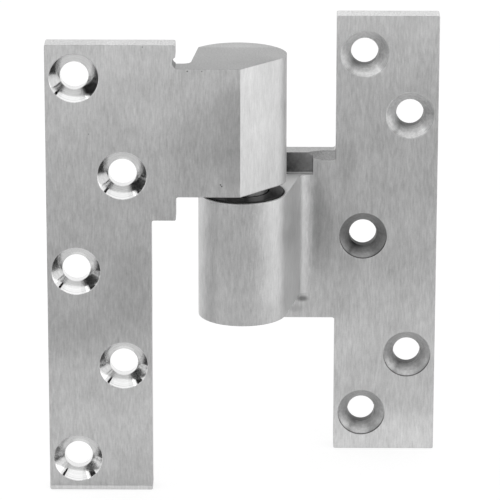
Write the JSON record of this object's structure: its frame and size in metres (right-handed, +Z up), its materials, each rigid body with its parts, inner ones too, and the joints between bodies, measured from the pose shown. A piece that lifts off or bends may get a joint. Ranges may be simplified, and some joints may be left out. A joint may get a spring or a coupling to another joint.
{
  "type": "offset pivot hinge",
  "caption": "Full-mortise offset pivot hinge with countersunk door and jamb leaves, an upper knuckle and a lower barrel on one vertical pin.",
  "frame": {"origin": "centre of the jamb leaf's back face, at mid-height", "axes": "+Z up along the pivot axis, +Y into the jamb, +X across the jamb leaf away from the pivot"},
  "size_m": [0.0967, 0.0358, 0.1142],
  "materials": {
    "satin_stainless": "vertical satin brush on the faces, finer turning marks in the countersinks",
    "ground_steel": "hardened and ground",
    "cup_steel": "drawn thin steel",
    "cage_steel": "dull pressed steel",
    "dark_washer": "oiled dark steel"
  },
  "bodies": {
    "jamb": {"jamb_leaf": "satin_stainless", "seal_washer": "dark_washer", "lower_bearing_cup": "cup_steel", "upper_bearing_cup": "cup_steel"},
    "door": {"door_leaf": "satin_stainless", "pivot_pin": "ground_steel"},
    "lower_cage": {"lower_bearing_cage": "cage_steel", "lower_needle_01": "ground_steel", "lower_needle_02": "ground_steel", "lower_needle_03": "ground_steel", "lower_needle_04": "ground_steel", "lower_needle_05": "ground_steel", "lower_needle_06": "ground_steel", "lower_needle_07": "ground_steel", "lower_needle_08": "ground_steel", "lower_needle_09": "ground_steel", "lower_needle_10": "ground_steel", "lower_needle_11": "ground_steel", "lower_needle_12": "ground_steel", "lower_needle_13": "ground_steel", "lower_needle_14": "ground_steel"},
    "upper_cage": {"upper_bearing_cage": "cage_steel", "upper_needle_01": "ground_steel", "upper_needle_02": "ground_steel", "upper_needle_03": "ground_steel", "upper_needle_04": "ground_steel", "upper_needle_05": "ground_steel", "upper_needle_06": "ground_steel", "upper_needle_07": "ground_steel", "upper_needle_08": "ground_steel", "upper_needle_09": "ground_steel", "upper_needle_10": "ground_steel", "upper_needle_11": "ground_steel", "upper_needle_12": "ground_steel", "upper_needle_13": "ground_steel", "upper_needle_14": "ground_steel"}
  },
  "joints": [
    {"name": "door_swing", "type": "hinge", "parent": "jamb", "child": "door", "pos_m": [-0.0361, -0.02146, 0], "axis": [0, 0, 1], "range_deg": [0, 180]},
    {"name": "lower_cage_turn", "type": "hinge", "parent": "jamb", "child": "lower_cage", "pos_m": [-0.0361, -0.02146, 0], "axis": [0, 0, 1], "range_deg": [0, 80]},
    {"name": "upper_cage_turn", "type": "hinge", "parent": "jamb", "child": "upper_cage", "pos_m": [-0.0361, -0.02146, 0], "axis": [0, 0, 1], "range_deg": [0, 80]}
  ],
  "couplings": [
    {"joint": "lower_cage_turn", "follows": "door_swing", "ratio": 0.4444},
    {"joint": "upper_cage_turn", "follows": "door_swing", "ratio": 0.4444}
  ]
}
